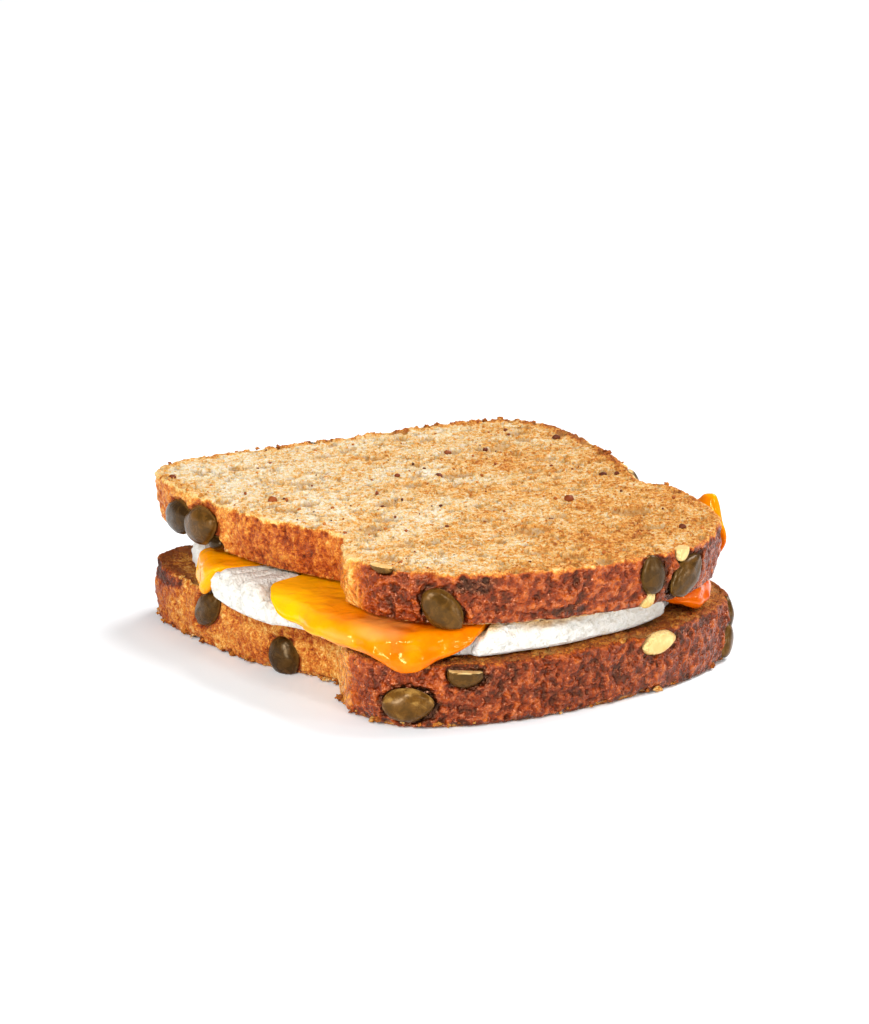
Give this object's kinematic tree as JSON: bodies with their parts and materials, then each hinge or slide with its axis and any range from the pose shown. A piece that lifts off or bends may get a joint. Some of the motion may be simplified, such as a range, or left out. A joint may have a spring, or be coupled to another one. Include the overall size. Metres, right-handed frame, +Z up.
{
  "type": "egg sandwich",
  "caption": "Toasted egg sandwich of seeded loaf slices round a cooked egg-white patty, with melted cheese hanging over the patty's edge.",
  "frame": {"origin": "centre of the sandwich's bounding box, on the surface it stands on", "axes": "+Z up through the layers; X across the slices; -Y towards the loaf's domed crown, +Y towards the loaf's flat base"},
  "size_m": [0.1108, 0.1204, 0.0348],
  "materials": {
    "toasted_crumb": "porous toasted crumb, cream with golden ridges",
    "toasted_crust": "baked crust, red brown and lightly glossy on the crown",
    "egg_white": "moist cooked egg white, soft sheen",
    "melted_cheese": "glossy melted cheese, slightly translucent",
    "pumpkin_seed": "olive green roasted seed, satin"
  },
  "bodies": {
    "root": {"bread_lower": "toasted_crust", "egg_white": "egg_white", "cheese": "melted_cheese", "bread_upper": "toasted_crumb"}
  },
  "joints": []
}
